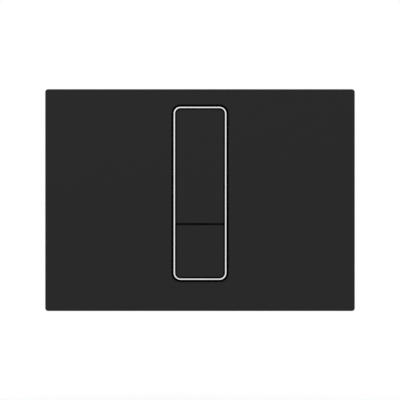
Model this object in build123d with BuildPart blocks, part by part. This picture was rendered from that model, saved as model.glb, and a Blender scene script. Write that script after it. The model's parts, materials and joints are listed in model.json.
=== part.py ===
from build123d import *
import os

# Dual flush plate for a concealed cistern, all lengths in millimetres.
# Seen from the room, X runs to the right and Z runs up. Y runs into the wall.
# The finished wall is Y = 0. A height is measured from the wall towards the room,
# so a negative height lies inside the wall, and Plane.XZ.offset(height) is the
# sketch plane at that height, with X to the right and Z up.

# Radial play of a screw, nut or pin that is held tight
TIGHT = 0.02

# Front plate
PLATE_WIDTH = 240.0
PLATE_HEIGHT = 172.0
PLATE_CORNER = 2.3
PLATE_EDGE = 0.8
PLATE_FRONT = 12.0
PLATE_INSIDE = 9.4
PLATE_BACK = 0.5
PLATE_RIM = 2.5
RIB = 1.2
RIB_BACK = 6.4
RIB_COLUMNS = (36.0, 58.0, 80.0, 102.0)
RIB_ROWS = (-51.0, -17.0, 17.0, 51.0)
LOW_RIB_Z = -75.0

# Opening for the buttons, measured from the middle line of the bezel's lip
COLUMN_Z = 5.25
RING_WIDTH = 39.8
RING_HEIGHT = 133.1
RING_CORNER = 4.8
LIP = 1.1
LIP_EDGE = 0.3
LIP_FRONT = 12.3
RING_FLANGE = 4.0
RING_BACK = 8.2
SHADOW_GAP = 1.7
SHADOW_FLOOR = 9.9
SHADOW_EDGE = 0.3
LEDGE_PLAY = 0.2
SEAL = 0.8
SEAL_PLAY = 0.05

# Carrier that clamps the bezel and holds the buttons
CARRIER_BACK = 2.9
CARRIER_FLANGE = 1.7
CARRIER_WIDTH = 62.0
CARRIER_HEIGHT = 146.0
CARRIER_CORNER = 8.0
COLLAR_WALL = 2.0
COLLAR_ROOM = 0.9
BEARING_R = 2.2
BEARING_END = 0.5
BAR_FRONT = -2.6
BAR = 1.8
BAR_WIDTH = 3.2
BAR_LEG_X = 21.3
BAR_LEG = 2.0
SCREWS = [(x, COLUMN_Z + z) for x in (-27.0, 27.0) for z in (-52.0, 0.0, 52.0)]
SCREW_BOSS_R = 2.9
SCREW_R = 1.28
SCREW_LENGTH = 7.4
SCREW_HEAD_R = 2.6
SCREW_HEAD = 1.4
SCREW_PLAY = 0.3
SCREW_TIP_ROOM = 0.2

# Buttons
BUTTON_PLAY = 1.2
BUTTON_CAP = 2.4
BUTTON_WALL = 1.6
BUTTON_EDGE = 0.4
BUTTON_INSIDE_CORNER = 1.8
BUTTON_RIB = 1.2
BUTTON_RIB_BACK = 7.4
SKIRT_BACK = 5.0
SKIRT_FLANGE = 1.0
SKIRT_REACH = 1.6
SPLIT_Z = -18.65
SPLIT_GAP = 1.45
SPLIT_CORNER = 0.6
SPLIT_END = 10.0
HINGE_HEIGHT = 5.9
HINGE_INSET = 3.75
PIN_R = 1.5
PIN_LENGTH = 46.0
PIN_PLAY = 0.05
PIN_EDGE = 0.3
LUG_X = 10.0
LUG = 2.0
LUG_R = 2.8
HOOK_REACH = 22.0
HOOK_BACK = 0.4
HOOK = 1.7
HOOK_LENGTH = 8.0
BUMPER = 0.7
BUMPER_X = 21.2
BUMPER_WIDTH = 1.6
BUMPER_LENGTH = 6.0
POST_WIDTH = 8.0
NOSE_R = 3.0
NOSE_BACK = 1.0

# Leaf springs
SPRING_WIDTH = 10.0
SPRING = 0.4
SPRING_POCKET = 0.6
SPRING_PLAY = 0.2
SPRING_FOOT_INSET = 0.6
SPRING_BEND_R = 0.8
SPRING_TIP_HEIGHT = 6.0
SPRING_TIP_DROP = 1.2
SPRING_TIP_LENGTH = 2.6
STAKE_R = 1.2
STAKE_HEAD_R = 2.0
STAKE_INSET = 3.0
STAKE_PLAY = 0.1

# Frame in the wall opening
FRAME_WIDTH = 216.0
FRAME_HEIGHT = 154.0
FRAME_FLANGE = 2.0
FRAME_CORNER = 6.0
BOX_WIDTH = 194.0
BOX_HEIGHT = 134.0
BOX_WALL = 2.0
BOX_DEPTH = 17.5
FLOOR = 2.5
FRAME_RIB = 1.8
FRAME_RIB_FRONT = -9.0
FRAME_EDGE = 0.6
WALL_GROOVE = 1.0
WALL_GROOVE_DEPTH = 0.5
WINDOW_CORNER = 4.0
UPRIGHT_X = 38.0
UPRIGHT_WIDTH = 8.0
BRIDGE_LOW = -48.0
BRIDGE_HIGH = 10.0
ARM_HEIGHT = 18.0
GUIDE_R = 5.2
GUIDE_BORE_R = 3.1
GUIDE_LENGTH = 15.0

# Snap tongues of the plate and their clips
TONGUES = [(x, z) for x in (-80.0, 80.0) for z in (-51.0, 51.0)]
TONGUE_WIDTH = 8.0
TONGUE = 2.4
TONGUE_BACK = -7.5
TONGUE_LEAD = 0.8
CLIP_PAD_FRONT = -2.0
CLIP_PAD = 2.5
CLIP_PAD_SIZE = 27.0
CLIP_PAD_BITE = 0.5
CLIP_SLOT_PLAY = 0.3
CLIP_WIDTH = 9.0
CLIP_SHEET = 0.5
CLIP_PLAY = 0.05
CLIP_BEND_R = 0.4
CLIP_FLANGE = 3.6
CLIP_BACK = -8.6

# Studs, nuts and push rods
STUD_X = 75.0
STUD_SHANK_R = 2.7
STUD_R = 3.0
STUD_SHOULDER = -18.5
STUD_BACK = -60.0
STUD_FRONT = 0.6
STUD_EDGE = 0.6
STUD_PLAY = 0.4
STUD_BOSS_R = 8.0
STUD_BOSS_FRONT = -8.0
NUT_R = 8.5
NUT = 7.0
NUT_FLUTES = 10
ROD_R = 3.0
ROD_FRONT = -1.5
ROD_BACK = -66.0
ROD_EDGE = 0.5
ROD_TIP_R = 2.2
ROD_TIP_BACK = -70.0
NOTCHES = 6
FIRST_NOTCH = -38.0
NOTCH_PITCH = 5.0
NOTCH = 0.8
NOTCH_DEPTH = 0.5
HEAD_R = 6.0
HEAD_FRONT = 0.7
HEAD = 9.0
HEAD_EDGE = 0.5
HEAD_FLUTES = 12
FLUTE_R = 1.0
FLUTE_SHIFT = 0.4

BUTTON_WIDTH = RING_WIDTH - LIP - 2 * BUTTON_PLAY
BUTTON_CORNER = RING_CORNER - LIP / 2 - BUTTON_PLAY
COLUMN_HALF = RING_HEIGHT / 2 - LIP / 2 - BUTTON_PLAY
CAP_INSIDE = PLATE_FRONT - BUTTON_CAP
FULL_LOW = SPLIT_Z + SPLIT_GAP / 2
FULL_HIGH = COLUMN_Z + COLUMN_HALF
HALF_LOW = COLUMN_Z - COLUMN_HALF
HALF_HIGH = SPLIT_Z - SPLIT_GAP / 2
FULL_HINGE_Z = FULL_HIGH - HINGE_INSET
HALF_HINGE_Z = HALF_LOW + HINGE_INSET
FULL_ROD = (-10.0, -7.0)
HALF_ROD = (10.0, -28.0)
FULL_SPRING_Z = 42.0
HALF_SPRING_Z = -43.0


def ring_outline(grow, mode=Mode.ADD):
    """Rounded rectangle that runs `grow` outside the middle line of the bezel's lip."""
    with Locations((0, COLUMN_Z)):
        RectangleRounded(RING_WIDTH + 2 * grow, RING_HEIGHT + 2 * grow, RING_CORNER + grow, mode=mode)


with BuildPart() as front_plate:
    # Shell that is open to the wall
    with BuildSketch(Plane.XZ.offset(PLATE_BACK)):
        RectangleRounded(PLATE_WIDTH, PLATE_HEIGHT, PLATE_CORNER)
    extrude(amount=PLATE_FRONT - PLATE_BACK)
    fillet(front_plate.faces().sort_by(Axis.Y)[0].edges(), PLATE_EDGE)
    with BuildSketch(Plane.XZ.offset(PLATE_BACK)):
        Rectangle(PLATE_WIDTH - 2 * PLATE_RIM, PLATE_HEIGHT - 2 * PLATE_RIM)
    extrude(amount=PLATE_INSIDE - PLATE_BACK, mode=Mode.SUBTRACT)

    # Ribs behind the front face
    with BuildSketch(Plane.XZ.offset(RIB_BACK)):
        inner_x = PLATE_WIDTH / 2 - PLATE_RIM
        for side in (-1, 1):
            with Locations([(side * x, 0) for x in RIB_COLUMNS]):
                Rectangle(RIB, PLATE_HEIGHT - 2 * PLATE_RIM)
            with Locations([(side * (RIB_COLUMNS[0] + inner_x) / 2, z) for z in RIB_ROWS]):
                Rectangle(inner_x - RIB_COLUMNS[0], RIB)
        with Locations((0, LOW_RIB_Z)):
            Rectangle(2 * RIB_COLUMNS[0], RIB)
    extrude(amount=PLATE_INSIDE - RIB_BACK)

    # Tongues that snap into the clips
    with BuildSketch(Plane.XZ.offset(TONGUE_BACK)):
        with Locations(TONGUES):
            Rectangle(TONGUE_WIDTH, TONGUE)
    extrude(amount=PLATE_INSIDE - TONGUE_BACK)
    tongue_ends = front_plate.faces().filter_by(Axis.Y).group_by(Axis.Y)[-1]
    chamfer(tongue_ends.edges().filter_by(Axis.X), TONGUE_LEAD)

    # Bosses for the carrier's screws
    with BuildSketch(Plane.XZ.offset(CARRIER_BACK + CARRIER_FLANGE)):
        with Locations(SCREWS):
            Circle(SCREW_BOSS_R)
    extrude(amount=PLATE_INSIDE - CARRIER_BACK - CARRIER_FLANGE)
    with BuildSketch(Plane.XZ.offset(CARRIER_BACK)):
        with Locations(SCREWS):
            Circle(SCREW_R + TIGHT)
    extrude(amount=SCREW_LENGTH + SCREW_TIP_ROOM, mode=Mode.SUBTRACT)

    # Opening with a sunken ledge round the bezel
    with BuildSketch(Plane.XZ.offset(SHADOW_FLOOR)):
        ring_outline(LIP / 2 + SHADOW_GAP)
    extrude(amount=PLATE_FRONT, mode=Mode.SUBTRACT)
    with BuildSketch(Plane.XZ.offset(PLATE_INSIDE)):
        ring_outline(LIP / 2 + LEDGE_PLAY)
    extrude(amount=PLATE_FRONT, mode=Mode.SUBTRACT)
    fillet(front_plate.faces().sort_by(Axis.Y)[0].inner_wires().edges(), SHADOW_EDGE)

with BuildPart() as bezel_ring:
    with BuildSketch(Plane.XZ.offset(RING_BACK)):
        ring_outline(RING_FLANGE)
    extrude(amount=PLATE_INSIDE - RING_BACK)
    with BuildSketch(Plane.XZ.offset(RING_BACK)):
        ring_outline(LIP / 2)
    extrude(amount=LIP_FRONT - RING_BACK)
    with BuildSketch(Plane.XZ.offset(RING_BACK)):
        ring_outline(-LIP / 2)
    extrude(amount=LIP_FRONT - RING_BACK, mode=Mode.SUBTRACT)
    fillet(bezel_ring.faces().sort_by(Axis.Y)[0].edges(), LIP_EDGE)

with BuildPart() as bezel_seal:
    with BuildSketch(Plane.XZ.offset(SHADOW_FLOOR)):
        ring_outline(LIP / 2 + SHADOW_GAP - SEAL_PLAY)
        ring_outline(LIP / 2 + SEAL_PLAY, mode=Mode.SUBTRACT)
    extrude(amount=SEAL)

with BuildPart() as button_carrier:
    # Collar that presses on the bezel, and the flange that is screwed to the plate
    with BuildSketch(Plane.XZ.offset(CARRIER_BACK)):
        ring_outline(COLLAR_WALL - LIP / 2)
    extrude(amount=RING_BACK - CARRIER_BACK)
    with BuildSketch(Plane.XZ.offset(CARRIER_BACK)):
        with Locations((0, COLUMN_Z)):
            RectangleRounded(CARRIER_WIDTH, CARRIER_HEIGHT, CARRIER_CORNER)
    extrude(amount=CARRIER_FLANGE)

    # Bearings of the hinge pins
    with BuildSketch(Plane.YZ):
        with Locations((-HINGE_HEIGHT, FULL_HINGE_Z), (-HINGE_HEIGHT, HALF_HINGE_Z)):
            Circle(BEARING_R)
    extrude(amount=PIN_LENGTH / 2 + BEARING_END, both=True)
    with BuildSketch(Plane.XZ.offset(CARRIER_BACK)):
        ring_outline(COLLAR_ROOM - LIP / 2)
    extrude(amount=RING_BACK - CARRIER_BACK, mode=Mode.SUBTRACT)
    with BuildSketch(Plane.YZ):
        with Locations((-HINGE_HEIGHT, FULL_HINGE_Z), (-HINGE_HEIGHT, HALF_HINGE_Z)):
            Circle(PIN_R + TIGHT)
    extrude(amount=CARRIER_WIDTH, both=True, mode=Mode.SUBTRACT)

    # Cross bar on two legs, deep enough for both buttons to pass in front of it
    with BuildSketch(Plane.XZ.offset(BAR_FRONT - BAR)):
        with Locations((0, SPLIT_Z)):
            Rectangle(2 * BAR_LEG_X, BAR_WIDTH)
    extrude(amount=BAR)
    with BuildSketch(Plane.XZ.offset(BAR_FRONT - BAR)):
        with Locations((-BAR_LEG_X, SPLIT_Z), (BAR_LEG_X, SPLIT_Z)):
            Rectangle(BAR_LEG, BAR_WIDTH)
    extrude(amount=CARRIER_BACK + CARRIER_FLANGE - BAR_FRONT + BAR)

    # Screw holes, and a pocket with a stake for each spring
    with BuildSketch(Plane.XZ.offset(CARRIER_BACK)):
        with Locations(SCREWS):
            Circle(SCREW_R + SCREW_PLAY)
    extrude(amount=CARRIER_FLANGE, mode=Mode.SUBTRACT)
    pocket = CARRIER_HEIGHT / 2 - COLUMN_HALF
    stakes = [(0, COLUMN_Z + side * (CARRIER_HEIGHT / 2 - STAKE_INSET)) for side in (-1, 1)]
    with BuildSketch(Plane.XZ.offset(CARRIER_BACK)):
        with Locations([(0, COLUMN_Z + side * (CARRIER_HEIGHT / 2 - pocket / 2)) for side in (-1, 1)]):
            Rectangle(SPRING_WIDTH + 2 * SPRING_PLAY, pocket)
    extrude(amount=SPRING_POCKET, mode=Mode.SUBTRACT)
    with BuildSketch(Plane.XZ.offset(CARRIER_BACK)):
        with Locations(stakes):
            Circle(STAKE_R)
    extrude(amount=SPRING_POCKET)
    with BuildSketch(Plane.XZ.offset(CARRIER_BACK)):
        with Locations(stakes):
            Circle(STAKE_HEAD_R)
    extrude(amount=SPRING_POCKET - SPRING)

with BuildPart() as carrier_screws:
    with BuildSketch(Plane.XZ.offset(CARRIER_BACK - SCREW_HEAD)):
        with Locations(SCREWS):
            Circle(SCREW_HEAD_R)
    extrude(amount=SCREW_HEAD)
    with BuildSketch(Plane.XZ.offset(CARRIER_BACK)):
        with Locations(SCREWS):
            Circle(SCREW_R)
    extrude(amount=SCREW_LENGTH)


def button_outline(free_end, hinge_end, grow=0.0):
    """Outline with small corners at the split, that runs `grow` outside a button's other sides."""
    outward = 1 if hinge_end > free_end else -1
    length = abs(hinge_end - free_end) + grow
    width = BUTTON_WIDTH + 2 * grow
    with Locations((0, free_end + outward * length / 2)):
        RectangleRounded(width, length, BUTTON_CORNER + grow)
    with Locations((0, free_end + outward * SPLIT_END / 2)):
        RectangleRounded(width, SPLIT_END, SPLIT_CORNER)


def flush_button(low, high, hinge_z, rod, spring_z):
    """Hollow button that swings on a pin at `hinge_z` and pushes a rod at `rod`."""
    middle = (low + high) / 2
    outward = 1 if hinge_z > middle else -1
    free_end, hinge_end = (low, high) if outward > 0 else (high, low)
    with BuildPart() as button:
        # Cap and skirt, with a flange that closes the gap behind the bezel
        with BuildSketch(Plane.XZ.offset(SKIRT_BACK)):
            button_outline(free_end, hinge_end)
        extrude(amount=PLATE_FRONT - SKIRT_BACK)
        fillet(button.faces().sort_by(Axis.Y)[0].edges(), BUTTON_EDGE)
        with BuildSketch(Plane.XZ.offset(SKIRT_BACK)):
            button_outline(free_end, hinge_end, SKIRT_REACH)
        extrude(amount=SKIRT_FLANGE)
        with BuildSketch(Plane.XZ.offset(SKIRT_BACK)):
            with Locations((0, middle)):
                inside = (BUTTON_WIDTH - 2 * BUTTON_WALL, high - low - 2 * BUTTON_WALL)
                RectangleRounded(*inside, BUTTON_INSIDE_CORNER)
        extrude(amount=CAP_INSIDE - SKIRT_BACK, mode=Mode.SUBTRACT)

        # Ribs along and across the cap
        with BuildSketch(Plane.XZ.offset(BUTTON_RIB_BACK)):
            with Locations((-LUG_X, middle), (LUG_X, middle)):
                Rectangle(BUTTON_RIB, high - low - BUTTON_WALL)
            with Locations((0, rod[1]), (0, hinge_z)):
                Rectangle(BUTTON_WIDTH - BUTTON_WALL, BUTTON_RIB)
        extrude(amount=CAP_INSIDE - BUTTON_RIB_BACK)
        spring_rib_back = SPRING_TIP_HEIGHT + SPRING / 2 + SPRING_PLAY
        with BuildSketch(Plane.XZ.offset(spring_rib_back)):
            with Locations((0, spring_z)):
                Rectangle(BUTTON_WIDTH - BUTTON_WALL, BUTTON_RIB)
        extrude(amount=CAP_INSIDE - spring_rib_back)

        # Hinge lugs in the side walls and on the two long ribs
        for x in (-BUTTON_WIDTH / 2 + LUG / 2, -LUG_X, LUG_X, BUTTON_WIDTH / 2 - LUG / 2):
            with BuildSketch(Plane.YZ.offset(x - LUG / 2)):
                with Locations((-HINGE_HEIGHT, hinge_z)):
                    Circle(LUG_R)
                with Locations((-(HINGE_HEIGHT + CAP_INSIDE) / 2, hinge_z)):
                    Rectangle(CAP_INSIDE - HINGE_HEIGHT, 2 * LUG_R)
            extrude(amount=LUG)
        with BuildSketch(Plane.YZ):
            with Locations((-HINGE_HEIGHT, hinge_z)):
                Circle(PIN_R + PIN_PLAY)
        extrude(amount=BUTTON_WIDTH, both=True, mode=Mode.SUBTRACT)

        # Post with a round nose that pushes the rod
        with BuildSketch(Plane.YZ.offset(rod[0] - POST_WIDTH / 2)):
            with Locations((-NOSE_BACK - NOSE_R, rod[1])):
                Circle(NOSE_R)
            with Locations((-(NOSE_BACK + NOSE_R + CAP_INSIDE) / 2, rod[1])):
                Rectangle(CAP_INSIDE - NOSE_BACK - NOSE_R, 2 * NOSE_R)
        extrude(amount=POST_WIDTH)

        # Stop hooks at the free end
        hook_z = free_end + outward * (BUTTON_WALL + HOOK_LENGTH / 2)
        for side in (-1, 1):
            with BuildSketch(Plane.XZ.offset(HOOK_BACK)):
                with Locations((side * (BUTTON_WIDTH - BUTTON_WALL) / 2, hook_z)):
                    Rectangle(BUTTON_WALL, HOOK_LENGTH)
            extrude(amount=SKIRT_BACK - HOOK_BACK)
            with BuildSketch(Plane.XZ.offset(HOOK_BACK)):
                with Locations((side * (HOOK_REACH + BUTTON_WIDTH / 2 - BUTTON_WALL) / 2, hook_z)):
                    Rectangle(HOOK_REACH - BUTTON_WIDTH / 2 + BUTTON_WALL, HOOK_LENGTH)
            extrude(amount=HOOK)
    return button


full_flush_button = flush_button(FULL_LOW, FULL_HIGH, FULL_HINGE_Z, FULL_ROD, FULL_SPRING_Z)
half_flush_button = flush_button(HALF_LOW, HALF_HIGH, HALF_HINGE_Z, HALF_ROD, HALF_SPRING_Z)


def hinge_pin(z):
    """Steel pin through the carrier and a button."""
    with BuildPart() as pin:
        with BuildSketch(Plane.YZ):
            with Locations((-HINGE_HEIGHT, z)):
                Circle(PIN_R)
        extrude(amount=PIN_LENGTH / 2, both=True)
        chamfer(pin.edges(), PIN_EDGE)
    return pin


full_button_pin = hinge_pin(FULL_HINGE_Z)
half_button_pin = hinge_pin(HALF_HINGE_Z)


def return_spring(outward, hinge_z, tip_z):
    """Leaf spring from the carrier's end to a cross rib of the button."""
    seat = CARRIER_BACK + SPRING_POCKET - SPRING / 2
    foot_z = COLUMN_Z + outward * (CARRIER_HEIGHT / 2 - SPRING_FOOT_INSET)
    stake_z = COLUMN_Z + outward * (CARRIER_HEIGHT / 2 - STAKE_INSET)
    with BuildPart() as spring:
        with BuildSketch(Plane.YZ.offset(-SPRING_WIDTH / 2)):
            with BuildLine():
                FilletPolyline(
                    (-seat, foot_z),
                    (-seat, hinge_z),
                    (-SPRING_TIP_HEIGHT, tip_z),
                    (-SPRING_TIP_HEIGHT + SPRING_TIP_DROP, tip_z - outward * SPRING_TIP_LENGTH),
                    radius=SPRING_BEND_R,
                )
            trace(line_width=SPRING)
        extrude(amount=SPRING_WIDTH)
        with BuildSketch(Plane.XZ):
            with Locations((0, stake_z)):
                Circle(STAKE_R + STAKE_PLAY)
        extrude(amount=PLATE_FRONT, mode=Mode.SUBTRACT)
    return spring


full_return_spring = return_spring(1, FULL_HINGE_Z, FULL_SPRING_Z)
half_return_spring = return_spring(-1, HALF_HINGE_Z, HALF_SPRING_Z)

with BuildPart() as stop_bumpers:
    with BuildSketch(Plane.XZ.offset(CARRIER_BACK - BUMPER)):
        for x in (-BUMPER_X, BUMPER_X):
            with Locations(
                (x, FULL_LOW + BUTTON_WALL + HOOK_LENGTH / 2),
                (x, HALF_HIGH - BUTTON_WALL - HOOK_LENGTH / 2),
            ):
                Rectangle(BUMPER_WIDTH, BUMPER_LENGTH)
    extrude(amount=BUMPER)

with BuildPart() as mounting_frame:
    # Flange on the wall and the box behind it
    box_inside = (BOX_WIDTH - 2 * BOX_WALL, BOX_HEIGHT - 2 * BOX_WALL)
    with BuildSketch(Plane.XZ):
        RectangleRounded(FRAME_WIDTH, FRAME_HEIGHT, FRAME_CORNER)
        RectangleRounded(*box_inside, FRAME_CORNER - BOX_WALL, mode=Mode.SUBTRACT)
    extrude(amount=FRAME_FLANGE)
    fillet(mounting_frame.faces().sort_by(Axis.Y)[0].edges(), FRAME_EDGE)
    with BuildSketch(Plane.XZ.offset(-BOX_DEPTH)):
        RectangleRounded(BOX_WIDTH, BOX_HEIGHT, FRAME_CORNER)
        RectangleRounded(*box_inside, FRAME_CORNER - BOX_WALL, mode=Mode.SUBTRACT)
    extrude(amount=BOX_DEPTH)
    chamfer(mounting_frame.faces().sort_by(Axis.Y)[-1].outer_wire().edges(), FRAME_EDGE)
    with BuildSketch(Plane.XZ):
        groove_size = (BOX_WIDTH + 2 * WALL_GROOVE, BOX_HEIGHT + 2 * WALL_GROOVE)
        RectangleRounded(*groove_size, FRAME_CORNER + WALL_GROOVE)
        RectangleRounded(BOX_WIDTH, BOX_HEIGHT, FRAME_CORNER, mode=Mode.SUBTRACT)
    extrude(amount=WALL_GROOVE_DEPTH, mode=Mode.SUBTRACT)

    # Floor with windows, which leaves two uprights, an arm to each side and the bridge for the rods
    inside_x, inside_z = box_inside[0] / 2, box_inside[1] / 2
    side_x = (UPRIGHT_X + UPRIGHT_WIDTH / 2 + inside_x) / 2
    side_width = inside_x - UPRIGHT_X - UPRIGHT_WIDTH / 2
    side_z = (ARM_HEIGHT / 2 + inside_z) / 2
    side_height = inside_z - ARM_HEIGHT / 2
    middle_width = 2 * UPRIGHT_X - UPRIGHT_WIDTH
    with BuildSketch(Plane.XZ.offset(-BOX_DEPTH)):
        RectangleRounded(BOX_WIDTH, BOX_HEIGHT, FRAME_CORNER)
        with GridLocations(2 * side_x, 2 * side_z, 2, 2):
            RectangleRounded(side_width, side_height, WINDOW_CORNER, mode=Mode.SUBTRACT)
        with Locations((0, (BRIDGE_HIGH + inside_z) / 2)):
            RectangleRounded(middle_width, inside_z - BRIDGE_HIGH, WINDOW_CORNER, mode=Mode.SUBTRACT)
        with Locations((0, (BRIDGE_LOW - inside_z) / 2)):
            RectangleRounded(middle_width, BRIDGE_LOW + inside_z, WINDOW_CORNER, mode=Mode.SUBTRACT)
    extrude(amount=FLOOR)

    # Edge ribs on the bars
    with BuildSketch(Plane.XZ.offset(-BOX_DEPTH)):
        for side in (-1, 1):
            edge = (UPRIGHT_WIDTH - FRAME_RIB) / 2
            with Locations((side * (UPRIGHT_X - edge), 0), (side * (UPRIGHT_X + edge), 0)):
                Rectangle(FRAME_RIB, BOX_HEIGHT - BOX_WALL)
            edge = (ARM_HEIGHT - FRAME_RIB) / 2
            with Locations((side * side_x, -edge), (side * side_x, edge)):
                Rectangle(side_width + FRAME_RIB, FRAME_RIB)
        with Locations((0, BRIDGE_LOW + FRAME_RIB / 2), (0, BRIDGE_HIGH - FRAME_RIB / 2)):
            Rectangle(middle_width + FRAME_RIB, FRAME_RIB)
    extrude(amount=BOX_DEPTH + FRAME_RIB_FRONT)

    # Bosses for the studs
    with BuildSketch(Plane.XZ.offset(-BOX_DEPTH)):
        with Locations((-STUD_X, 0), (STUD_X, 0)):
            Circle(STUD_BOSS_R)
    extrude(amount=BOX_DEPTH + STUD_BOSS_FRONT)
    with BuildSketch(Plane.XZ.offset(-BOX_DEPTH)):
        with Locations((-STUD_X, 0), (STUD_X, 0)):
            Circle(STUD_SHANK_R + STUD_PLAY)
    extrude(amount=BOX_DEPTH, mode=Mode.SUBTRACT)

    # Guides for the rods
    guide_back = BOX_DEPTH - FLOOR + GUIDE_LENGTH
    with BuildSketch(Plane.XZ.offset(-guide_back)):
        with Locations(FULL_ROD, HALF_ROD):
            Circle(GUIDE_R)
    extrude(amount=GUIDE_LENGTH)
    with BuildSketch(Plane.XZ.offset(-guide_back)):
        with Locations(FULL_ROD, HALF_ROD):
            Circle(GUIDE_BORE_R)
    extrude(amount=GUIDE_LENGTH, mode=Mode.SUBTRACT)

    # Corner pads with slots for the plate's clips
    pad_x = inside_x + CLIP_PAD_BITE - CLIP_PAD_SIZE / 2
    pad_z = inside_z + CLIP_PAD_BITE - CLIP_PAD_SIZE / 2
    clip_height = TONGUE + 2 * CLIP_PLAY + 2 * CLIP_SHEET
    with BuildSketch(Plane.XZ.offset(CLIP_PAD_FRONT - CLIP_PAD)):
        with GridLocations(2 * pad_x, 2 * pad_z, 2, 2):
            Rectangle(CLIP_PAD_SIZE, CLIP_PAD_SIZE)
        with Locations(TONGUES):
            slot_size = (CLIP_WIDTH + 2 * CLIP_SLOT_PLAY, clip_height + 2 * CLIP_SLOT_PLAY)
            Rectangle(*slot_size, mode=Mode.SUBTRACT)
    extrude(amount=CLIP_PAD)

with BuildPart() as plate_clips:
    leg = TONGUE / 2 + CLIP_PLAY + CLIP_SHEET / 2
    seat = CLIP_PAD_FRONT + CLIP_SHEET / 2
    for x, z in TONGUES:
        with BuildSketch(Plane.YZ.offset(x - CLIP_WIDTH / 2)):
            with BuildLine():
                FilletPolyline(
                    (-seat, z - leg - CLIP_FLANGE),
                    (-seat, z - leg),
                    (-CLIP_BACK, z - leg),
                    (-CLIP_BACK, z + leg),
                    (-seat, z + leg),
                    (-seat, z + leg + CLIP_FLANGE),
                    radius=CLIP_BEND_R,
                )
            trace(line_width=CLIP_SHEET)
        extrude(amount=CLIP_WIDTH)


def fixing_stud(x):
    """Stud with a turned-down front part and a full thread behind the frame."""
    with BuildPart() as stud:
        with BuildSketch(Plane.XZ.offset(STUD_SHOULDER)):
            with Locations((x, 0)):
                Circle(STUD_SHANK_R)
        extrude(amount=STUD_FRONT - STUD_SHOULDER)
        with BuildSketch(Plane.XZ.offset(STUD_BACK)):
            with Locations((x, 0)):
                Circle(STUD_R)
        extrude(amount=STUD_SHOULDER - STUD_BACK)
        ends = stud.faces().filter_by(Axis.Y).sort_by(Axis.Y)
        chamfer([ends[0].edge(), ends[-1].edge()], STUD_EDGE)
    return stud


def fluted_head(centre, radius, front, length, bore, bore_length, flutes):
    """Round head with finger flutes, bored from the back."""
    back = front - length
    with BuildPart() as head:
        with BuildSketch(Plane.XZ.offset(back)):
            with Locations(centre):
                Circle(radius)
        extrude(amount=length)
        ends = head.faces().filter_by(Axis.Y)
        chamfer(ends.edges(), HEAD_EDGE)
        with BuildSketch(Plane.XZ.offset(back)):
            with Locations(centre):
                with PolarLocations(radius + FLUTE_SHIFT, flutes):
                    Circle(FLUTE_R)
        extrude(amount=length, mode=Mode.SUBTRACT)
        with BuildSketch(Plane.XZ.offset(back)):
            with Locations(centre):
                Circle(bore)
        extrude(amount=bore_length, mode=Mode.SUBTRACT)
    return head


def push_rod(centre):
    """Rod from its head to the flush valve, with a thinner tip."""
    with BuildPart() as rod:
        with BuildSketch(Plane.XZ.offset(ROD_BACK)):
            with Locations(centre):
                Circle(ROD_R)
        extrude(amount=ROD_FRONT - ROD_BACK)
        chamfer(rod.faces().sort_by(Axis.Y)[-1].edges(), ROD_EDGE)
        with BuildSketch(Plane.XZ.offset(ROD_TIP_BACK)):
            with Locations(centre):
                Circle(ROD_TIP_R)
        extrude(amount=ROD_BACK - ROD_TIP_BACK)

        # Notches where the rod can be cut to length
        for notch in range(NOTCHES):
            with BuildSketch(Plane.XZ.offset(FIRST_NOTCH - notch * NOTCH_PITCH)):
                with Locations(centre):
                    Circle(ROD_R)
                    Circle(ROD_R - NOTCH_DEPTH, mode=Mode.SUBTRACT)
            extrude(amount=-NOTCH, mode=Mode.SUBTRACT)
    return rod


left_fixing_stud = fixing_stud(-STUD_X)
right_fixing_stud = fixing_stud(STUD_X)
nut_front = STUD_BOSS_FRONT + NUT
nut_bore = STUD_SHANK_R + TIGHT
left_stud_nut = fluted_head((-STUD_X, 0), NUT_R, nut_front, NUT, nut_bore, NUT, NUT_FLUTES)
right_stud_nut = fluted_head((STUD_X, 0), NUT_R, nut_front, NUT, nut_bore, NUT, NUT_FLUTES)
full_push_rod = push_rod(FULL_ROD)
half_push_rod = push_rod(HALF_ROD)
socket = HEAD - (HEAD_FRONT - ROD_FRONT)
rod_bore = ROD_R + TIGHT
full_rod_head = fluted_head(FULL_ROD, HEAD_R, HEAD_FRONT, HEAD, rod_bore, socket, HEAD_FLUTES)
half_rod_head = fluted_head(HALF_ROD, HEAD_R, HEAD_FRONT, HEAD, rod_bore, socket, HEAD_FLUTES)

pieces = {
    "front_plate": front_plate,
    "bezel_ring": bezel_ring,
    "bezel_seal": bezel_seal,
    "button_carrier": button_carrier,
    "carrier_screws": carrier_screws,
    "full_flush_button": full_flush_button,
    "half_flush_button": half_flush_button,
    "full_button_pin": full_button_pin,
    "half_button_pin": half_button_pin,
    "full_return_spring": full_return_spring,
    "half_return_spring": half_return_spring,
    "stop_bumpers": stop_bumpers,
    "mounting_frame": mounting_frame,
    "plate_clips": plate_clips,
    "left_fixing_stud": left_fixing_stud,
    "right_fixing_stud": right_fixing_stud,
    "left_stud_nut": left_stud_nut,
    "right_stud_nut": right_stud_nut,
    "full_push_rod": full_push_rod,
    "half_push_rod": half_push_rod,
    "full_rod_head": full_rod_head,
    "half_rod_head": half_rod_head,
}
os.makedirs("parts", exist_ok=True)
for name, piece in pieces.items():
    piece.part.label = name
    export_step(piece.part, f"parts/{name}.step")
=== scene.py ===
"""Looks of a dual flush plate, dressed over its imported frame. Lengths are in metres."""

import json
import math

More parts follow.
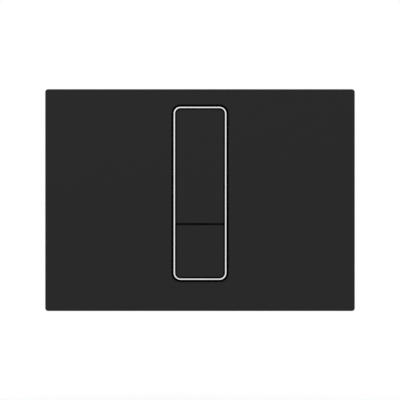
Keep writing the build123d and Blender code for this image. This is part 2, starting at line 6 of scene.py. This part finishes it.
import bmesh
import bpy
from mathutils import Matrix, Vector


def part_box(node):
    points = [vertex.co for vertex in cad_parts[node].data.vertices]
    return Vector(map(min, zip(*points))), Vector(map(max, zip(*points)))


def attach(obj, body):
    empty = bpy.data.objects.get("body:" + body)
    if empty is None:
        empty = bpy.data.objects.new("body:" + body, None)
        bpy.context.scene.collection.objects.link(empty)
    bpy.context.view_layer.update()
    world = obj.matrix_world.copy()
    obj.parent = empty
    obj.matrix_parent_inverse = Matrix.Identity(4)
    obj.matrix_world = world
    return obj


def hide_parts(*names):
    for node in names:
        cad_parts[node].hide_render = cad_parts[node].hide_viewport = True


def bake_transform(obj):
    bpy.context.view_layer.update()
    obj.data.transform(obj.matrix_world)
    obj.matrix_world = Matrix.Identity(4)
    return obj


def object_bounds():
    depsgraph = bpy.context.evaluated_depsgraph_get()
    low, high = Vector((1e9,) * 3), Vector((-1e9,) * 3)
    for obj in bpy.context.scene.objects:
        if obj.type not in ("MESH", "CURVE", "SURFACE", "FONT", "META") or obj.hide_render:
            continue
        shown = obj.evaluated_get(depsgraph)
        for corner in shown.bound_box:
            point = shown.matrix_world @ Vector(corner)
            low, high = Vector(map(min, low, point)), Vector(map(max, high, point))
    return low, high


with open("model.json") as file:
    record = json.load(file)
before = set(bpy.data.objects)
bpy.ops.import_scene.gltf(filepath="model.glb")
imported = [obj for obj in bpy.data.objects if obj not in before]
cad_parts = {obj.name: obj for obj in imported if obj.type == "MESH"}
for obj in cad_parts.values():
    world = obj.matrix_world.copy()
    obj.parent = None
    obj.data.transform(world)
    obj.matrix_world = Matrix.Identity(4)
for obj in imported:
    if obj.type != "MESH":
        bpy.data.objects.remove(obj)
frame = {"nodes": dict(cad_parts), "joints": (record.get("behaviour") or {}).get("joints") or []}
cad_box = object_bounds()
nodes = frame["nodes"]
MM = 0.001

# Picture: its width is measured in the plane of the plate's front face
PICTURE_WIDTH = 309.97 * MM
PICTURE_RAISE = 0.08 * MM
LENS_MM = 200.0
SENSOR_MM = 36.0

# Floor: the fade is given by distance from the middle
FLOOR_DROP = 0.10
FLOOR_SIZE = 1.6
FLOOR_PALE = (0.93, 0.93, 0.93, 1.0)
FADE_START = 0.22
FADE_END = 0.46

# Light: square lamps that face the origin, and an even white all round
FULL_WHITE = (1.0, 1.0, 1.0, 1.0)
AMBIENT = 0.66
SOFTBOXES = {
    "key_light": {"place": (-0.7, -1.1, 0.9), "size": 1.4, "power": 7.0},
    "fill_light": {"place": (1.0, -0.8, 0.3), "size": 1.2, "power": 2.5},
    "back_light": {"place": (0.5, 1.1, 0.9), "size": 1.2, "power": 8.0},
}

# Surface detail: scales are in cycles a metre, and a swing is the whole width of a change
NOISE_ROUGHNESS = 0.55
RELIEF_HEIGHT = 0.05 * MM
GRAIN_DETAIL = 2.0
GRAIN_GLOSS_SWING = 0.10
SKIN_CLOUD = 22.0
SKIN_CLOUD_DETAIL = 3.0
SKIN_CLOUD_GLOSS_SWING = 0.08
LINE_DETAIL = 4.0
LINE_GLOSS_SWING = 0.18
METAL_CLOUD = 90.0
METAL_CLOUD_DETAIL = 2.0
METAL_CLOUD_GLOSS_SWING = 0.12
METAL_CLOUD_SHADE_SWING = 0.14

# Colours that more than one finish has
FRONT_BLACK = (0.0113, 0.0113, 0.0113)
INNER_BLACK = (0.02, 0.02, 0.021)
SIGNAL_BLUE = (0.03, 0.12, 0.36)

# Meshes: an edge that turns by more than the angle stays sharp
SHARP_ANGLE = math.radians(38.0)
BAR_SIDES = 40

# Threads: their slope and root set the flats at crest and root, as shares of the depth
THREAD_STEPS = 8
THREAD_SLOPE = 1.7
THREAD_ROOT = 0.25

# Fixing studs
STUD_PITCH = 1.0 * MM
STUD_THREAD_DEPTH = 0.45 * MM
STUD_SHANK_R = 2.7 * MM
STUD_SHOULDER = 18.5 * MM
STUD_SHANK_THREAD_END = STUD_SHOULDER / 2

# Push rods
ROD_PITCH = 2.0 * MM
ROD_THREAD_DEPTH = 0.45 * MM
ROD_THREAD_END = 14.0 * MM
ROD_EDGE = 0.5 * MM
ROD_TIP_R = 2.2 * MM
ROD_TIP = 4.0 * MM
FIRST_NOTCH = 38.0 * MM
NOTCH_PITCH = 5.0 * MM
NOTCHES = 6
NOTCH = 0.8 * MM
NOTCH_DEPTH = 0.5 * MM

# Carrier screws
SCREW_R = 1.28 * MM
SCREW_HEAD_R = 2.6 * MM
SCREW_HEAD = 1.4 * MM
SCREW_DOME = 0.85 * MM
SCREW_CROWN_R = 1.6 * MM
SCREW_DOME_STEPS = 6
SCREW_CROSS = 0.6 * MM
SCREW_CROSS_REACH = 1.4 * MM
SCREW_CROSS_DEPTH = 0.8 * MM
SCREW_CROSS_FLOOR = 0.42 * MM
SCREW_CROSS_FLOOR_REACH = 0.84 * MM

# Return springs
SPRING_SHEET = 0.4 * MM
SPRING_TIP_DROP = 1.2 * MM
SPRING_TIP_LENGTH = 2.6 * MM
SPRING_BEND = 2.0 * MM
SPRING_RUN_STEPS = 24
SPRING_BEND_STEPS = 8
STAKE_INSET = 2.4 * MM
STAKE_HOLE_R = 1.3 * MM
STAKE_HOLE_SIDES = 32


# Shader helpers

def set_inputs(shader_node, values):
    """Sets plain values on a node's inputs by their names."""
    for name, value in values.items():
        shader_node.inputs[name].default_value = value


def add_node(tree, kind, **settings):
    """Adds a node and sets its own properties."""
    shader_node = tree.nodes.new(kind)
    for name, value in settings.items():
        setattr(shader_node, name, value)
    return shader_node


def feed(tree, slot, value):
    """Links a socket to an input, or sets a plain number on it."""
    if isinstance(value, bpy.types.NodeSocket):
        tree.links.new(value, slot)
    else:
        slot.default_value = value


def calculate(tree, operation, first, second):
    """The output of a Math node whose inputs are links or numbers."""
    result = add_node(tree, "ShaderNodeMath", operation=operation)
    feed(tree, result.inputs[0], first)
    feed(tree, result.inputs[1], second)
    return result.outputs[0]


def swing(tree, value, amount):
    """A value that is about 0.5 on average, turned into one about 0 that swings by amount."""
    return calculate(tree, "MULTIPLY", calculate(tree, "SUBTRACT", value, 0.5), amount)


def noise(tree, place, scale, detail):
    """Noise over the given coordinates, about 0.5 on average."""
    texture = add_node(tree, "ShaderNodeTexNoise")
    set_inputs(texture, {"Detail": detail, "Roughness": NOISE_ROUGHNESS})
    tree.links.new(place, texture.inputs["Vector"])
    feed(tree, texture.inputs["Scale"], scale)
    return texture.outputs[0]


def mix_shaders(tree, share, first, second):
    """The output of a Mix Shader node that goes from the first shader to the second."""
    either = add_node(tree, "ShaderNodeMixShader")
    for slot, source in zip(either.inputs, (share, first.outputs[0], second.outputs[0])):
        tree.links.new(source, slot)
    return either.outputs[0]


def emptied_tree(owner):
    """The node tree of a new material or world, with nothing in it."""
    owner.use_nodes = True
    owner.node_tree.nodes.clear()
    return owner.node_tree


# Surface groups, shared by the finishes

def surface_group(name, inputs):
    """A node group with the named number inputs and the outputs Roughness, Height and Shade."""
    group = bpy.data.node_groups.new(name, "ShaderNodeTree")
    for label in inputs:
        group.interface.new_socket(label, in_out="INPUT", socket_type="NodeSocketFloat")
    for label in ("Roughness", "Height", "Shade"):
        group.interface.new_socket(label, in_out="OUTPUT", socket_type="NodeSocketFloat")
    return group, group.nodes.new("NodeGroupInput"), group.nodes.new("NodeGroupOutput")


def fill_outputs(group, out, polish, gloss, height, shade):
    """Puts out roughness about a polish, a height, and a shade about 1, from swings about 0."""
    rough = calculate(group, "ADD", polish, calculate(group, "ADD", *gloss))
    group.links.new(rough, out.inputs["Roughness"])
    group.links.new(height, out.inputs["Height"])
    group.links.new(calculate(group, "ADD", shade, 1.0), out.inputs["Shade"])


def moulded_skin_group():
    """Spark-eroded mould texture with a slow drift of gloss, for plastic and rubber."""
    group, given, out = surface_group("moulded_skin", ("Grain", "Polish", "Mottle"))
    place = add_node(group, "ShaderNodeTexCoord").outputs["Object"]
    grain = noise(group, place, given.outputs["Grain"], GRAIN_DETAIL)
    cloud = noise(group, place, SKIN_CLOUD, SKIN_CLOUD_DETAIL)
    gloss = (swing(group, cloud, SKIN_CLOUD_GLOSS_SWING), swing(group, grain, GRAIN_GLOSS_SWING))
    shade = swing(group, cloud, given.outputs["Mottle"])
    fill_outputs(group, out, given.outputs["Polish"], gloss, grain, shade)
    return group


def drawn_metal_group():
    """Fine lines along one direction, for drawn, rolled and plated metal."""
    densities = ("Lines X", "Lines Y", "Lines Z")
    group, given, out = surface_group("drawn_metal", (*densities, "Polish"))
    place = add_node(group, "ShaderNodeTexCoord").outputs["Object"]
    density = add_node(group, "ShaderNodeCombineXYZ")
    for label, slot in zip(densities, density.inputs):
        group.links.new(given.outputs[label], slot)
    stretched = add_node(group, "ShaderNodeVectorMath", operation="MULTIPLY")
    group.links.new(place, stretched.inputs[0])
    group.links.new(density.outputs[0], stretched.inputs[1])
    lines = noise(group, stretched.outputs[0], 1.0, LINE_DETAIL)
    cloud = noise(group, place, METAL_CLOUD, METAL_CLOUD_DETAIL)
    gloss = (swing(group, lines, LINE_GLOSS_SWING), swing(group, cloud, METAL_CLOUD_GLOSS_SWING))
    shade = swing(group, cloud, METAL_CLOUD_SHADE_SWING)
    fill_outputs(group, out, given.outputs["Polish"], gloss, lines, shade)
    return group


MOULDED_SKIN = moulded_skin_group()
DRAWN_METAL = drawn_metal_group()

# Places of a Mix node's colour sockets
MIX_A = 6
MIX_B = 7
MIX_RESULT = 2


# Finishes, one for each kind of piece

def finish_material(name, group, surface_values, colour, relief, shader_values):
    """A Principled material whose colour, gloss and relief follow a surface group."""
    material = bpy.data.materials.new(name)
    tree = emptied_tree(material)
    surface = add_node(tree, "ShaderNodeGroup", node_tree=group)
    set_inputs(surface, surface_values)
    shader = add_node(tree, "ShaderNodeBsdfPrincipled")
    set_inputs(shader, shader_values)
    tint = add_node(tree, "ShaderNodeMix", data_type="RGBA", blend_type="MULTIPLY")
    tint.inputs[0].default_value = 1.0
    tint.inputs[MIX_A].default_value = (*colour, 1.0)
    tree.links.new(surface.outputs["Shade"], tint.inputs[MIX_B])
    tree.links.new(tint.outputs[MIX_RESULT], shader.inputs["Base Color"])
    tree.links.new(surface.outputs["Roughness"], shader.inputs["Roughness"])
    bump = add_node(tree, "ShaderNodeBump")
    set_inputs(bump, {"Strength": relief, "Distance": RELIEF_HEIGHT})
    tree.links.new(surface.outputs["Height"], bump.inputs["Height"])
    tree.links.new(bump.outputs["Normal"], shader.inputs["Normal"])
    out = add_node(tree, "ShaderNodeOutputMaterial")
    tree.links.new(shader.outputs[0], out.inputs["Surface"])
    return material


def plastic(name, colour, polish, grain=3000.0, relief=0.25, gloss=0.4, mottle=0.08):
    """Moulded plastic or rubber of one colour."""
    values = {"Grain": grain, "Polish": polish, "Mottle": mottle}
    return finish_material(name, MOULDED_SKIN, values, colour, relief, {"Specular IOR Level": gloss})


def metal(name, colour, polish, lines, relief=0.1):
    """Bare or plated metal with fine lines at the given density along X, Y and Z."""
    values = {"Lines X": lines[0], "Lines Y": lines[1], "Lines Z": lines[2], "Polish": polish}
    return finish_material(name, DRAWN_METAL, values, colour, relief, {"Metallic": 1.0})


PLATE_BLACK = plastic("plate_black", FRONT_BLACK, polish=0.52, relief=0.3, gloss=0.155)
BUTTON_BLACK = plastic("button_black", FRONT_BLACK, polish=0.50, relief=0.3, gloss=0.155)
CARRIER_BLACK = plastic("carrier_black", INNER_BLACK, polish=0.42, grain=1800.0, gloss=0.3)
FRAME_GREY = plastic("frame_grey", (0.46, 0.47, 0.48), polish=0.45, grain=1500.0, mottle=0.06)
NUT_BLUE = plastic("nut_blue", SIGNAL_BLUE, polish=0.38, grain=2200.0)
ROD_WHITE = plastic("rod_white", (0.78, 0.78, 0.75), polish=0.36, grain=2200.0, mottle=0.05)
HEAD_GREEN = plastic("head_green", (0.05, 0.30, 0.11), polish=0.38, grain=2200.0)
HEAD_BLUE = plastic("head_blue", SIGNAL_BLUE, polish=0.38, grain=2200.0)
BUMPER_RUBBER = plastic("bumper_rubber", (0.03, 0.03, 0.03), polish=0.75, grain=4000.0, gloss=0.25)
# Seal: a real rubber seal, but near black and without gloss, darker than rubber, so it paints shade
# into the slot round the bezel ring
SEAL_RUBBER_PAINTED_SHADE = plastic("seal_rubber", (0.002, 0.002, 0.002), polish=0.9, grain=4000.0, gloss=0.0)
BEZEL_CHROME = metal(
    "bezel_chrome", (0.785, 0.79, 0.795), polish=0.10, lines=(700.0, 700.0, 700.0), relief=0.02
)
ZINC_STEEL = metal("zinc_steel", (0.60, 0.62, 0.64), polish=0.34, lines=(500.0, 2500.0, 500.0))
DARK_STEEL = metal("dark_steel", INNER_BLACK, polish=0.42, lines=(60.0, 3000.0, 3000.0))
SPRING_STEEL = metal("spring_steel", (0.37, 0.37, 0.38), polish=0.28, lines=(3500.0, 120.0, 120.0))

NODE_FINISHES = {
    "front_plate": PLATE_BLACK,
    "bezel_ring": BEZEL_CHROME,
    "bezel_seal": SEAL_RUBBER_PAINTED_SHADE,
    "button_carrier": CARRIER_BLACK,
    "full_flush_button": BUTTON_BLACK,
    "half_flush_button": BUTTON_BLACK,
    "full_button_pin": DARK_STEEL,
    "half_button_pin": DARK_STEEL,
    "stop_bumpers": BUMPER_RUBBER,
    "mounting_frame": FRAME_GREY,
    "plate_clips": SPRING_STEEL,
    "left_stud_nut": NUT_BLUE,
    "right_stud_nut": NUT_BLUE,
    "full_rod_head": HEAD_GREEN,
    "half_rod_head": HEAD_BLUE,
}
for name, material in NODE_FINISHES.items():
    nodes[name].data.materials.clear()
    nodes[name].data.materials.append(material)


# Mesh helpers

def place_piece(name, mesh_builder, material, body, replaced, blended=None):
    """Turns a bmesh into a piece that stands for a node, and moves with a body or, when blended, stays
    where it is.
    """
    bmesh.ops.recalc_face_normals(mesh_builder, faces=mesh_builder.faces)
    mesh = bpy.data.meshes.new(name)
    mesh_builder.to_mesh(mesh)
    mesh_builder.free()
    mesh.shade_smooth()
    mesh.set_sharp_from_angle(angle=SHARP_ANGLE)
    mesh.materials.append(material)
    piece = bpy.data.objects.new(name, mesh)
    bpy.context.scene.collection.objects.link(piece)
    if blended:
        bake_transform(piece)
    else:
        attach(piece, body)
    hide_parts(replaced)


def join_loops(builder, loops):
    """Quads between closed loops that have the same number of corners."""
    for near, far in zip(loops, loops[1:]):
        for side, corner in enumerate(near):
            after = (side + 1) % len(near)
            builder.faces.new((corner, near[after], far[after], far[side]))


def loop_edges(builder, loop):
    """The edges that join a closed loop's corners."""
    return [builder.edges.get((loop[i - 1], loop[i])) for i in range(len(loop))]


def round_loop(builder, x, z, ring, sides):
    """Corners round the line along Y at x and z, from a ring of (y, radius by angle)."""
    y, radius = ring
    angles = [math.tau * side / sides for side in range(sides)]
    corners = [(x + radius(a) * math.cos(a), y, z + radius(a) * math.sin(a)) for a in angles]
    return [builder.verts.new(corner) for corner in corners]


def plain_ring(y, radius):
    """A round ring at y."""
    return y, lambda angle: radius


def thread_ring(y, root, depth, pitch):
    """A ring at y through a screw thread, flat at its root and at its crest."""
    def radius(angle):
        turn = (y / pitch - angle / math.tau) % 1.0
        flank = THREAD_SLOPE * (1.0 - abs(2.0 * turn - 1.0)) - THREAD_ROOT
        return root + depth * min(1.0, max(0.0, flank))

    return y, radius


def thread_rings(start, end, root, crest, pitch):
    """Rings of a screw thread from start to end that runs out at both ends."""
    steps = round((end - start) / pitch * THREAD_STEPS)
    rings = []
    for step in range(steps + 1):
        y = start + (end - start) * step / steps
        depth = (crest - root) * min(1.0, (y - start) / pitch, (end - y) / pitch)
        rings.append(thread_ring(y, root, depth, pitch))
    return rings


def add_turned(builder, x, z, rings, open_start=False):
    """Adds a bar along Y from its rings, and returns its first loop."""
    loops = [round_loop(builder, x, z, ring, BAR_SIDES) for ring in rings]
    join_loops(builder, loops)
    builder.faces.new(loops[-1])
    if not open_start:
        builder.faces.new(loops[0])
    return loops[0]


def node_axis(name):
    """X and Z of a round node's middle line, its radius, and its first and last Y."""
    low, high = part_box(name)
    return (low.x + high.x) / 2, (low.z + high.z) / 2, (high.x - low.x) / 2, low.y, high.y


# Pieces that replace plain solids

def fixing_stud(name):
    """Stud with a thread at the nut and a larger one behind the frame."""
    x, z, stud_r, front, back = node_axis(name)
    depth = STUD_THREAD_DEPTH
    bevel = depth / 2
    shank_root = STUD_SHANK_R - depth
    shank_end = STUD_SHANK_THREAD_END
    root = stud_r - depth
    rings = [plain_ring(front, shank_root - bevel)]
    rings += thread_rings(front + bevel, shank_end, shank_root, STUD_SHANK_R, STUD_PITCH)
    rings += [plain_ring(shank_end + depth, STUD_SHANK_R), plain_ring(STUD_SHOULDER, STUD_SHANK_R)]
    rings += thread_rings(STUD_SHOULDER, back - bevel, root, stud_r, STUD_PITCH)
    rings.append(plain_ring(back, root - bevel))
    stud = bmesh.new()
    add_turned(stud, x, z, rings)
    place_piece("threaded_" + name, stud, ZINC_STEEL, "fixed", name)


def push_rod(name, body):
    """Rod with a coarse thread for its head, notches for cutting and a thin tip."""
    x, z, rod_r, front, back = node_axis(name)
    shoulder = back - ROD_TIP
    rings = thread_rings(front, ROD_THREAD_END, rod_r - ROD_THREAD_DEPTH, rod_r, ROD_PITCH)
    rings.append(plain_ring(ROD_THREAD_END + ROD_THREAD_DEPTH, rod_r))
    floor_r = rod_r - NOTCH_DEPTH
    for notch in range(NOTCHES):
        start = FIRST_NOTCH + notch * NOTCH_PITCH
        end = start + NOTCH
        rings += [plain_ring(start, rod_r), plain_ring(start, floor_r)]
        rings += [plain_ring(end, floor_r), plain_ring(end, rod_r)]
    rings += [plain_ring(shoulder - ROD_EDGE, rod_r), plain_ring(shoulder, rod_r - ROD_EDGE)]
    rings += [plain_ring(shoulder, ROD_TIP_R), plain_ring(back, ROD_TIP_R)]
    rod = bmesh.new()
    add_turned(rod, x, z, rings)
    place_piece("threaded_" + name, rod, ROD_WHITE, body, name)


def cross_loop(builder, x, y, z, reach, half):
    """Corners of an upright cross in the plane at y, in order round it."""
    quarter = ((reach, -half), (reach, half), (half, half))
    turns = ((1, 0), (0, 1), (-1, 0), (0, -1))
    corners = [(c * a - s * b, s * a + c * b) for c, s in turns for a, b in quarter]
    return [builder.verts.new((x + a, y, z + b)) for a, b in corners]


def carrier_screws():
    """Pan-head screws with a cross recess, all in one piece."""
    low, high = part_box("carrier_screws")
    head_r = SCREW_HEAD_R
    columns = (low.x + head_r, high.x - head_r)
    rows = (low.z + head_r, (low.z + high.z) / 2, high.z - head_r)
    crown = high.y
    seat = crown - SCREW_HEAD
    recess = crown - SCREW_CROSS_DEPTH
    rings = []
    for step in range(SCREW_DOME_STEPS + 1):
        slope = math.pi / 2 * step / SCREW_DOME_STEPS
        radius = SCREW_CROWN_R + (head_r - SCREW_CROWN_R) * math.sin(slope)
        rings.append(plain_ring(crown - SCREW_DOME * (1 - math.cos(slope)), radius))
    rings += [plain_ring(seat, head_r), plain_ring(seat, SCREW_R), plain_ring(low.y, SCREW_R)]
    screws = bmesh.new()
    for x, z in ((x, z) for x in columns for z in rows):
        crown_loop = add_turned(screws, x, z, rings, open_start=True)
        mouth = cross_loop(screws, x, crown, z, SCREW_CROSS_REACH, SCREW_CROSS / 2)
        floor = cross_loop(screws, x, recess, z, SCREW_CROSS_FLOOR_REACH, SCREW_CROSS_FLOOR / 2)
        join_loops(screws, [mouth, floor])
        screws.faces.new(floor)
        rims = loop_edges(screws, crown_loop) + loop_edges(screws, mouth)
        bmesh.ops.triangle_fill(screws, edges=rims, use_beauty=True)
    place_piece("cross_head_screws", screws, ZINC_STEEL, "fixed", "carrier_screws")


def rounded_path(corners):
    """Points along a line through the corners, with each inner corner rounded off."""
    points = [corners[0]]
    for before, corner, after in zip(corners, corners[1:], corners[2:]):
        reach_in = min(SPRING_BEND, (before - corner).length / 2)
        reach_out = min(SPRING_BEND, (after - corner).length / 2)
        start = corner + (before - corner).normalized() * reach_in
        end = corner + (after - corner).normalized() * reach_out
        last = points[-1]
        run = start - last
        points += [last + run * step / SPRING_RUN_STEPS for step in range(1, SPRING_RUN_STEPS)]
        for step in range(SPRING_BEND_STEPS + 1):
            t = step / SPRING_BEND_STEPS
            points.append(start * (1 - t) ** 2 + corner * 2 * t * (1 - t) + end * t ** 2)
    points.append(corners[-1])
    return points


def pierce_foot(builder, near, far, hole_z):
    """Joins the first two loops of a spring as its flat foot, with a round hole for the stake."""
    holes = []
    for corner in (near[0], near[2]):
        ring = plain_ring(corner.co.y, STAKE_HOLE_R)
        holes.append(round_loop(builder, 0.0, hole_z, ring, STAKE_HOLE_SIDES))
    join_loops(builder, holes)
    builder.faces.new((near[1], near[2], far[2], far[1]))
    builder.faces.new((near[3], near[0], far[0], far[3]))
    for hole, (first, second) in zip(holes, ((0, 1), (2, 3))):
        rim = [near[first], near[second], far[second], far[first]]
        edges = loop_edges(builder, rim) + loop_edges(builder, hole)
        bmesh.ops.triangle_fill(builder, edges=edges, use_beauty=True)


def return_spring(name, body, outward, hinge_z):
    """Leaf spring with its foot on the carrier and its tip against the button.

    Outward is 1 where the foot is above the tip, and -1 where it is below.
    """
    low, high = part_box(name)
    half_width = high.x
    foot_z = high.z if outward > 0 else low.z
    end_z = low.z if outward > 0 else high.z
    seat = high.y - SPRING_SHEET / 2
    crest = low.y + SPRING_SHEET / 2
    crest_z = end_z + outward * SPRING_TIP_LENGTH
    stake_z = foot_z - outward * STAKE_INSET
    foot = Vector((0, seat, foot_z))
    corners = [
        Vector((0, seat, stake_z - outward * STAKE_INSET)),
        Vector((0, seat, hinge_z)),
        Vector((0, crest, crest_z)),
        Vector((0, crest + SPRING_TIP_DROP, end_z)),
    ]
    path = [foot] + rounded_path(corners)
    right = Vector((half_width, 0, 0))
    strip = bmesh.new()
    loops = []
    for index, point in enumerate(path):
        along = (path[min(index + 1, len(path) - 1)] - path[max(index - 1, 0)]).normalized()
        across = Vector((0, -along.z, along.y)) * SPRING_SHEET / 2
        offsets = (across - right, across + right, right - across, -across - right)
        loops.append([strip.verts.new(point + offset) for offset in offsets])
    join_loops(strip, loops[1:])
    strip.faces.new(loops[0])
    strip.faces.new(loops[-1])
    pierce_foot(strip, loops[0], loops[1], stake_z)
    bend = {"start": (0, seat, hinge_z), "end": (0, crest, crest_z)}
    place_piece("bent_" + name, strip, SPRING_STEEL, body, name, bend)


hinges = [joint for joint in frame["joints"] if joint["type"] == "hinge"]
hinge_heights = {joint["child"]: joint["pos_m"][2] for joint in hinges}
fixing_stud("left_fixing_stud")
fixing_stud("right_fixing_stud")
push_rod("full_push_rod", "full_rod")
push_rod("half_push_rod", "half_rod")
carrier_screws()
return_spring("full_return_spring", "full_button", 1, hinge_heights["full_button"])
return_spring("half_return_spring", "half_button", -1, hinge_heights["half_button"])


# Studio

def set_camera():
    """Looks straight at the plate from far away."""
    camera = bpy.data.cameras.new("camera")
    camera.lens = LENS_MM
    camera.sensor_width = SENSOR_MM
    holder = bpy.data.objects.new("camera", camera)
    plate_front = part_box("front_plate")[0].y
    holder.location = (0.0, plate_front - PICTURE_WIDTH * LENS_MM / SENSOR_MM, PICTURE_RAISE)
    holder.rotation_euler = (math.pi / 2, 0.0, 0.0)
    bpy.context.scene.collection.objects.link(holder)
    bpy.context.scene.camera = holder


def set_world():
    """White where it is seen or mirrored, and softer as the light that falls on things."""
    world = bpy.data.worlds.new("studio")
    bpy.context.scene.world = world
    tree = emptied_tree(world)
    path = add_node(tree, "ShaderNodeLightPath")
    seen = calculate(tree, "MAXIMUM", path.outputs["Is Camera Ray"], path.outputs["Is Glossy Ray"])
    seen = calculate(tree, "MAXIMUM", seen, path.outputs["Is Transmission Ray"])
    light = add_node(tree, "ShaderNodeBackground")
    set_inputs(light, {"Color": FULL_WHITE, "Strength": AMBIENT})
    backdrop = add_node(tree, "ShaderNodeBackground")
    set_inputs(backdrop, {"Color": FULL_WHITE, "Strength": 1.0})
    out = add_node(tree, "ShaderNodeOutputWorld")
    tree.links.new(mix_shaders(tree, seen, light, backdrop), out.inputs["Surface"])


def floor_material():
    """Pale under the object, clear further out and clear from below."""
    material = bpy.data.materials.new("floor_white")
    tree = emptied_tree(material)
    place = add_node(tree, "ShaderNodeTexCoord").outputs["Object"]
    distance = add_node(tree, "ShaderNodeVectorMath", operation="LENGTH")
    tree.links.new(place, distance.inputs[0])
    fade = add_node(tree, "ShaderNodeMapRange", interpolation_type="SMOOTHSTEP")
    set_inputs(fade, {"From Min": FADE_START, "From Max": FADE_END})
    tree.links.new(distance.outputs["Value"], fade.inputs["Value"])
    underside = add_node(tree, "ShaderNodeNewGeometry").outputs["Backfacing"]
    unseen = calculate(tree, "MAXIMUM", fade.outputs[0], underside)
    pale = add_node(tree, "ShaderNodeBsdfDiffuse")
    set_inputs(pale, {"Color": FLOOR_PALE})
    clear = add_node(tree, "ShaderNodeBsdfTransparent")
    out = add_node(tree, "ShaderNodeOutputMaterial")
    tree.links.new(mix_shaders(tree, unseen, pale, clear), out.inputs["Surface"])
    return material


def add_floor():
    """A flat square below the object, whose middle is under the origin."""
    half = FLOOR_SIZE / 2
    corners = [(-half, -half, 0.0), (half, -half, 0.0), (half, half, 0.0), (-half, half, 0.0)]
    mesh = bpy.data.meshes.new("floor")
    mesh.from_pydata(corners, [], [(0, 1, 2, 3)])
    mesh.materials.append(floor_material())
    floor = bpy.data.objects.new("floor", mesh)
    floor.location.z = cad_box[0].z - FLOOR_DROP
    bpy.context.scene.collection.objects.link(floor)


def add_softbox(name, place, size, power):
    """A square area lamp that faces the origin."""
    lamp = bpy.data.lights.new(name, "AREA")
    lamp.shape = "SQUARE"
    lamp.size = size
    lamp.energy = power
    holder = bpy.data.objects.new(name, lamp)
    holder.location = place
    holder.rotation_euler = (-Vector(place)).to_track_quat("-Z", "Y").to_euler()
    bpy.context.scene.collection.objects.link(holder)


set_camera()
set_world()
add_floor()
for name, softbox in SOFTBOXES.items():
    add_softbox(name, **softbox)
bpy.context.scene.view_settings.view_transform = "Standard"
